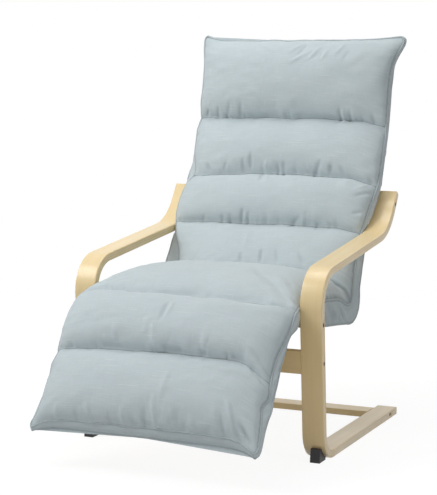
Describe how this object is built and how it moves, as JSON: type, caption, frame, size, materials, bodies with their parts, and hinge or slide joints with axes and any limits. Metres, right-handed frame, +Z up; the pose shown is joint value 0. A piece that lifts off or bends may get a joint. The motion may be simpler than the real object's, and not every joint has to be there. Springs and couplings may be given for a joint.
{
  "type": "lounge armchair with a leg rest",
  "caption": "Bent birch lounge armchair with open cantilever side frames, a long channelled cushion and a leg rest that lifts on friction hinges.",
  "frame": {"origin": "on the floor, under the middle of the chair's whole box", "axes": "+X to the sitter's left, across the seat; +Y towards the back; +Z up"},
  "size_m": [0.67, 1.0678, 1.0584],
  "materials": {
    "birch_frame": "clear lacquered bent birch",
    "birch_slat": "clear lacquered birch plywood",
    "cushion_cloth": "slubbed linen look cloth",
    "foot_plastic": "moulded, fine texture",
    "black_bolt": "black oxide",
    "spacer_plastic": "moulded",
    "dowel_beech": "raw, fluted",
    "washer_nylon": "natural nylon",
    "brass_thread": "turned",
    "hinge_steel": "zinc plated",
    "zinc_screw": "zinc plated"
  },
  "bodies": {
    "root": {"back_cushion": "cushion_cloth", "back_slat_1": "birch_slat", "back_slat_2": "birch_slat", "back_slat_3": "birch_slat", "back_slat_4": "birch_slat", "back_slat_5": "birch_slat", "back_slat_6": "birch_slat", "back_slat_7": "birch_slat", "barrel_nuts": "brass_thread", "foot_left": "foot_plastic", "foot_right": "foot_plastic", "foot_screws": "zinc_screw", "frame_bolts": "black_bolt", "frame_spacers": "spacer_plastic", "friction_washer_left": "washer_nylon", "friction_washer_right": "washer_nylon", "front_leg_rail": "birch_frame", "hinge_nuts": "hinge_steel", "hinge_pins": "hinge_steel", "hinge_seat_leaf_left": "hinge_steel", "hinge_seat_leaf_right": "hinge_steel", "nut_washers": "hinge_steel", "rail_bolts": "black_bolt", "rail_dowels": "dowel_beech", "rail_inserts": "brass_thread", "rear_floor_rail": "birch_frame", "seat_back_rail_left": "birch_frame", "seat_back_rail_right": "birch_frame", "seat_cushion": "cushion_cloth", "seat_leaf_screws": "zinc_screw", "seat_slat_1": "birch_slat", "seat_slat_2": "birch_slat", "seat_slat_3": "birch_slat", "seat_slat_4": "birch_slat", "side_frame_left": "birch_frame", "side_frame_right": "birch_frame", "slat_screws": "zinc_screw"},
    "leg_rest": {"hinge_rest_leaf_left": "hinge_steel", "hinge_rest_leaf_right": "hinge_steel", "leg_rest_cushion": "cushion_cloth", "leg_rest_rail_left": "birch_frame", "leg_rest_rail_right": "birch_frame", "leg_rest_slat_1": "birch_slat", "leg_rest_slat_2": "birch_slat", "leg_rest_slat_3": "birch_slat", "leg_rest_slat_4": "birch_slat", "leg_rest_slat_screws": "zinc_screw", "rest_leaf_screws": "zinc_screw"}
  },
  "joints": [
    {"name": "leg_rest_fold", "type": "hinge", "parent": "root", "child": "leg_rest", "pos_m": [0, -0.26825, 0.34788], "axis": [-1, 0, 0], "range_deg": [0, 50]}
  ]
}
